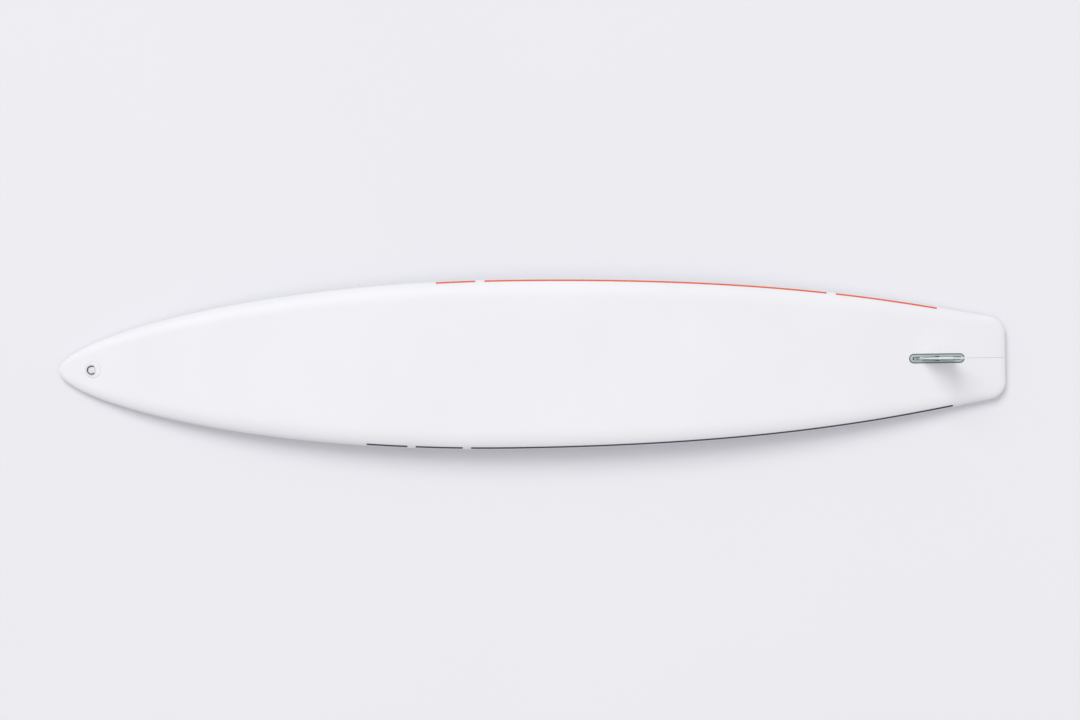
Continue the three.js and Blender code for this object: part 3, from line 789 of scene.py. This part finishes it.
def pinline(name, sign, start, end):
    station = spaced(start, end, 9, 0.25)
    slope = half_width(station + 1) / 2 - half_width(station - 1) / 2
    length = np.sqrt(1 + slope**2)
    middle = PINLINE_FROM_RAIL + PINLINE_WIDTH / 2
    half = taper(station, PINLINE_WIDTH / 2) * PINLINE_WIDTH / 2
    across = np.linspace(-1, 1, 11)
    inward = middle + half[:, None] * across * sign
    x = station[:, None] + inward * (slope / length)[:, None]
    y = sign * (half_width(station)[:, None] - inward / length[:, None])
    return painted_strip(name, x, y)


def make_lines():
    red = line_paint("red_line", (0.68, 0.08, 0.018), (0.8, 0.125, 0.036))
    navy = line_paint("navy_line", (0.012, 0.008, 0.034), (0.022, 0.017, 0.055))
    for colour, sign, paint, runs in (("red", 1, red, RED_RUNS), ("navy", -1, navy, NAVY_RUNS)):
        for number, (start, end) in enumerate(runs, 1):
            line = pinline(f"{colour}_line_{number}", sign, start, end)
            settle(line, paint, "board", [f"{colour}_pinline_{number}"])
    start = FIN_BOX_STATION + BOX_LENGTH / 2 + TAIL_LINE_FROM_BOX
    station = spaced(start, LENGTH - TAIL_LINE_FROM_END, 3, 0.2)
    half = taper(station, TAIL_LINE_HALF) * TAIL_LINE_HALF
    y = -half[:, None] * np.linspace(-1, 1, 7)
    line = painted_strip("tail_line", station[:, None] + 0 * y, y)
    settle(line, faint_ink(), "board", ["centre_line"])


# ------------------------------------------------------------------ fin box and fin

def rounded_rectangle(low, high, z, radius, steps=6):
    loop = []
    (x0, y0), (x1, y1) = low, high
    corners = ((x1, y0, -1), (x1, y1, 0), (x0, y1, 1), (x0, y0, 2))
    for x, y, quarter in corners:
        cx = x - radius if x == x1 else x + radius
        cy = y - radius if y == y1 else y + radius
        for angle in np.linspace(quarter * pi / 2, (quarter + 1) * pi / 2, steps):
            loop.append((cx + radius * cos(angle), cy + radius * sin(angle), z))
    return loop


def block(name, low, high, radius, matrix, edge=0.6):
    """A block with round upright edges and small chamfers at its top and bottom."""
    (x0, y0, z0), (x1, y1, z1) = low, high
    loops = []
    for z, inset in ((z0, edge), (z0 + edge, 0), (z1 - edge, 0), (z1, edge)):
        corner_a, corner_b = (x0 + inset, y0 + inset), (x1 - inset, y1 - inset)
        loops.append(rounded_rectangle(corner_a, corner_b, z, max(radius - inset, 0.2)))
    return loft(name, loops, matrix)


def make_fin_box():
    # Each pair is the inset from the outer edge and the height of a ring of the moulding.
    lip = [(0.1, -2.8), (0, -2.4), (0, 0.1), (0.25, 0.75), (0.8, 1.15), (1.5, 1.2), (2.1, 1.0)]
    face = [(2.7, 1.0), (3.1, 1.35), (3.6, 1.65), (4.4, 1.9), (6, 2.2), (8, 2.45), (10, 2.6)]
    body = [(BODY_INSET + 1.5, -BOX_DEPTH), (BODY_INSET, -BOX_DEPTH + 1.5), (BODY_INSET, -2.9)]
    loops = []
    for inset, z in body + lip + face:
        loops.append(stadium(BOX_LENGTH - 2 * inset, BOX_WIDTH - 2 * inset, z, 40))
    box = loft("fin_box_moulding", loops, FIN_FRAME)
    # Here each pair is how far the slot has widened on every side, and the height.
    mouth = [(0, -SLOT_DEPTH), (0, 0.2), (0.25, 1.1), (0.8, 1.9), (1.7, 2.5), (1.7, CLEAR)]
    slot = [stadium(SLOT_LENGTH + 2 * g, SLOT_WIDTH + 2 * g, z, 30) for g, z in mouth]
    track_end = SLOT_LENGTH / 2 - 2
    tracks = box_solid("tracks", (-track_end, -TRACK_HALF, TRACK_BOTTOM),
                       (track_end, TRACK_HALF, TRACK_TOP), FIN_FRAME)
    low, high = (-DROP_IN_HALF, -TRACK_HALF), (DROP_IN_HALF, TRACK_HALF)
    drop_in = [rounded_rectangle(low, high, z, 1.5) for z in (TRACK_BOTTOM, CLEAR)]
    cut(box, loft("slot", slot, FIN_FRAME), tracks, loft("drop_in", drop_in, FIN_FRAME))
    settle(box, box_plastic(), "board", ["fin_box"])


def foil_swell(c):
    """Half the thickness of a wing section at a share of its chord, with a blunt back edge."""
    return 1.4845 * sqrt(c) - 0.63 * c - 1.758 * c**2 + 1.4215 * c**3 - 0.46 * c**4


def foil_loop(z, leading, trailing):
    """One level of the blade: round in front and thin behind. The tip closes in as it rounds."""
    level = min(z, FIN_HEIGHT)
    front = np.interp(level, leading[:, 1], leading[:, 0])
    back = np.interp(level, trailing[:, 1], trailing[:, 0])
    past = max(0, (z - FIN_HEIGHT + TIP_ROUND) / TIP_ROUND)
    drop = 1 - sqrt(max(0, 1 - past**2))
    chord = back - front
    front, back = front + drop * chord * TIP_CLOSE_FRONT, back - drop * chord * TIP_CLOSE_BACK
    share = max(0, z / FIN_HEIGHT)
    full = (ROOT_THICKNESS + (TIP_THICKNESS - ROOT_THICKNESS) * share) * sqrt(1 - 0.97 * past**3)
    upper = []
    for angle in np.linspace(0, pi, 29):
        c = (1 - cos(angle)) / 2
        upper.append((front + (back - front) * c, full * foil_swell(c), z))
    lower = [(x, -y, z) for x, y, z in upper]
    return lower[:-1] + upper[:0:-1]


def screw_frame():
    return FIN_FRAME @ Matrix.Translation((SCREW_X * MM, 0, 0))


def make_fin():
    leading = bezier(LEADING_EDGE, 200)
    trailing = bezier(TRAILING_EDGE, 200)
    levels = np.concatenate([[-1.5], np.linspace(0, FIN_HEIGHT - TIP_ROUND, 46),
                             FIN_HEIGHT - TIP_ROUND * (1 - np.sin(np.linspace(0.12, 1.5, 14)))])
    blade = loft("fin_blade", [foil_loop(z, leading, trailing) for z in levels], FIN_FRAME)
    tab = block("tab", (TAB_FRONT, -TAB_HALF, TAB_BOTTOM), (TAB_BACK, TAB_HALF, TAB_TOP), 1.2,
                FIN_FRAME)
    lug = block("lug", (LUG_FRONT, -TAB_HALF, LUG_BOTTOM), (TAB_FRONT + 2, TAB_HALF, LUG_TOP), 4.4,
                FIN_FRAME)
    join(blade, tab, lug)
    drill = [(0, -14), (SCREW_HOLE_RADIUS, -14), (SCREW_HOLE_RADIUS, 0), (0, 0)]
    screw_hole = turned("screw_hole", drill, 32, screw_frame())
    pin_hole = cross_rod("pin_hole", PIN_X, PIN_Z, 8, PIN_RADIUS + PIN_GAP, 20, FIN_FRAME, 5)
    cut(blade, screw_hole, pin_hole)
    settle(blade, fin_laminate(), "fin", ["fin"])


def make_screw(brass):
    profile = [(0, -18), (1.5, -18), (SCREW_RADIUS, -17.2), (SCREW_RADIUS, -2.2), (3.9, -2.2),
               (4, -1.0), (3.4, 0), (2.2, 0.35), (0, 0.4)]
    screw = turned("fin_screw_turned", rounded(profile, 0.35, 4), 48, screw_frame())
    low, high = (-5, -DRIVER_SLOT_HALF, DRIVER_SLOT_BOTTOM), (5, DRIVER_SLOT_HALF, 2)
    cut(screw, box_solid("driver_slot", low, high, screw_frame()))
    settle(screw, brass, "fin_screw", ["fin_screw"])


# ------------------------------------------------------------------ nose ring

def ring_path():
    """The wire's middle, from one pivot end round the bend to the other."""
    def arc(cx, cy, radius, start, end, steps):
        angles = np.linspace(start, end, steps)
        return [(cx + radius * cos(a), cy + radius * sin(a), PIVOT_Z) for a in angles]

    corner_x, corner_y = PIVOT_X - RING_CORNER, RING_BEND - RING_CORNER
    half = [(PIVOT_X, y, PIVOT_Z) for y in np.linspace(3, corner_y, 8)[:-1]]
    half += arc(corner_x, corner_y, RING_CORNER, 0, pi / 2, 9)
    half += [(x, RING_BEND, PIVOT_Z) for x in np.linspace(corner_x, RING_CENTRE_X, 5)[1:-1]]
    bend = arc(RING_CENTRE_X, 0, RING_BEND, pi / 2, pi * 1.5, 61)
    return half + bend + [(x, -y, z) for x, y, z in reversed(half)]


def saddle_section(y, grow):
    """An arch over the pivot, with a flared foot that fades out towards its ends."""
    radius, foot = SADDLE_RADIUS + grow, SADDLE_FOOT + SADDLE_FOOT_FADE * grow
    points = [(-radius - foot, -1), (-radius - foot, BASE_TOP - 0.1)]
    for angle in np.linspace(-pi / 2, 0, 7)[1:]:
        x = -radius - foot + foot * cos(angle)
        points.append((x, BASE_TOP - 0.1 + foot + foot * sin(angle)))
    for angle in np.linspace(pi, pi / 2, 13)[1:-1]:
        points.append((radius * cos(angle), PIVOT_Z + radius * sin(angle)))
    mirrored = [(-x, z) for x, z in reversed(points)]
    loop = points + [(0, PIVOT_Z + radius)] + mirrored
    return [(PIVOT_X + x, y, z) for x, z in loop]


def make_nose_fitting(steel):
    disc = [(0, -STEM_DEPTH), (STEM_RADIUS, -STEM_DEPTH), (STEM_RADIUS, -2), (BASE_RADIUS, -2),
            (BASE_RADIUS, 0.1), (BASE_RADIUS - 1.2, 1.0), (BASE_RADIUS - 4, BASE_TOP),
            (0, BASE_TOP)]
    base = turned("ring_base", rounded(disc, 1.2, 6), 96, NOSE_FRAME)
    ends = [(-1, -0.9), (-0.93, -0.45), (-0.8, -0.12), (-0.6, 0), (0.6, 0), (0.8, -0.12),
            (0.93, -0.45), (1, -0.9)]
    sections = [saddle_section(SADDLE_HALF * share, grow) for share, grow in ends]
    saddle = weld(loft("saddle", sections, NOSE_FRAME))
    join(base, saddle)
    bore = cross_rod("bore", PIVOT_X, PIVOT_Z, 14, WIRE_RADIUS + WIRE_GAP, 28, NOSE_FRAME)
    cut(base, bore)
    white = moulded("white_nylon", (0.76, 0.77, 0.79), (0.81, 0.82, 0.84), 0.35, 0.55)
    settle(base, white, "board", ["nose_ring_base"], crease=30)
    ring = tube("ring_wire", ring_path(), WIRE_RADIUS, 24, NOSE_FRAME)
    settle(ring, steel, "nose_ring", ["nose_ring"])


# ------------------------------------------------------------------ leash cup

def make_leash_cup(steel):
    profile = [(0, -CUP_DEPTH), (CUP_RADIUS, -CUP_DEPTH), (CUP_RADIUS, -2), (CUP_RIM_RADIUS, -2),
               (CUP_RIM_RADIUS, CUP_RIM_TOP), (CUP_BORE_RADIUS, CUP_RIM_TOP),
               (CUP_BORE_RADIUS, CUP_FLOOR), (0, CUP_FLOOR)]
    cup = turned("leash_socket", rounded(profile, 0.9, 6), 96, LEASH_FRAME)
    hole = cross_rod("bar_hole", 0, LEASH_BAR_DEPTH, 16, LEASH_BAR_RADIUS + LEASH_BAR_GAP, 28,
                     LEASH_FRAME)
    cut(cup, hole)
    dark = moulded("dark_nylon", (0.016, 0.018, 0.02), (0.032, 0.035, 0.038), 0.35, 0.55)
    settle(cup, dark, "board", ["leash_cup"])
    bar = cross_rod("leash_rod", 0, LEASH_BAR_DEPTH, CUP_RADIUS - 0.6, LEASH_BAR_RADIUS, 28,
                    LEASH_FRAME)
    settle(bar, steel, "board", ["leash_bar"])


# ------------------------------------------------------------------ inner pieces

def dress(material, *nodes):
    """Gives CAD nodes that keep their own shape a finished material."""
    for node in nodes:
        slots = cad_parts[node].data.materials
        slots.clear()
        slots.append(material)


def dress_inner_pieces(steel, brass):
    blank = foam("blank_foam", (0.72, 0.67, 0.54), (0.88, 0.84, 0.74), 0.0009)
    dense = foam("dense_foam", (0.42, 0.33, 0.16), (0.6, 0.5, 0.3), 0.0005)
    dress(blank, "foam_port", "foam_starboard")
    dress(dense, "fin_box_block", "nose_ring_block", "leash_cup_block")
    dress(stringer_wood(), "stringer")
    dress(steel, "fin_plate")
    dress(brass, "fin_pin")


# ------------------------------------------------------------------ stage, in metres

FLOOR_SIZE = 60


def make_floor():
    bpy.ops.mesh.primitive_plane_add(size=FLOOR_SIZE, location=(0, 0, 0))
    floor = bpy.context.object
    floor.name = "floor"
    paint = Paint("pale_floor", Specular_IOR_Level=0.1)
    tone = paint.colours(paint.noise(0.7, detail=2),
                         (0.3, (0.785, 0.79, 0.822)), (0.7, (0.795, 0.8, 0.832)))
    floor.data.materials.append(paint.done(tone, paint.between(paint.noise(30), 0.8, 0.9)))


SKY_TONE = (1.0, 0.985, 1.005)
SKY_STRENGTH = 0.54


def softbox(name, zenith, azimuth, distance, size, power):
    """A round soft light that shines at the board. Azimuth 0 is +Y, and it grows towards -X."""
    flat = distance * sin(radians(zenith))
    turn = radians(azimuth)
    place = Vector((-flat * sin(turn), flat * cos(turn), distance * cos(radians(zenith))))
    data = bpy.data.lights.new(name, "AREA")
    data.shape = "DISK"
    data.size = size
    data.energy = power
    lamp = bpy.data.objects.new(name, data)
    lamp.location = place
    lamp.rotation_euler = (-place).to_track_quat("-Z", "Y").to_euler()
    bpy.context.scene.collection.objects.link(lamp)


def make_lights():
    softbox("key", zenith=35, azimuth=25, distance=60, size=36, power=16000)
    softbox("overhead", zenith=0, azimuth=0, distance=26, size=26, power=1530)
    world = bpy.data.worlds.new("studio")
    world.use_nodes = True
    sky = world.node_tree.nodes["Background"]
    sky.inputs["Color"].default_value = (*SKY_TONE, 1)
    sky.inputs["Strength"].default_value = SKY_STRENGTH
    bpy.context.scene.world = world
    bpy.context.scene.view_settings.view_transform = "Standard"


VIEW_HEIGHT = 12  # over a level plane at the middle of the board's rails
VIEW_PLACE = Vector((0.0274, 0.013, VIEW_HEIGHT + 0.18))
VIEW_WIDTH = 3.605  # of that plane, across the picture
VIEW_TURN = radians(-0.793)


def make_camera():
    data = bpy.data.cameras.new("camera")
    data.sensor_width = 36
    data.lens = data.sensor_width * VIEW_HEIGHT / VIEW_WIDTH
    camera = bpy.data.objects.new("camera", data)
    camera.matrix_world = Matrix.Translation(VIEW_PLACE) @ Matrix.Rotation(VIEW_TURN, 4, "Z")
    bpy.context.scene.collection.objects.link(camera)
    bpy.context.scene.camera = camera


# ------------------------------------------------------------------ the whole scene

def build():
    steel = metal("dark_stainless", (0.1, 0.1, 0.105), (0.2, 0.2, 0.21), 0.22, 0.4, (900, 900, 60))
    brass = metal("dull_brass", (0.3, 0.24, 0.17), (0.52, 0.43, 0.31), 0.35, 0.6, (600, 600, 90))
    make_skins()
    make_lines()
    make_fin_box()
    make_fin()
    make_screw(brass)
    make_nose_fitting(steel)
    make_leash_cup(steel)
    dress_inner_pieces(steel, brass)
    make_floor()
    make_lights()
    make_camera()


build()
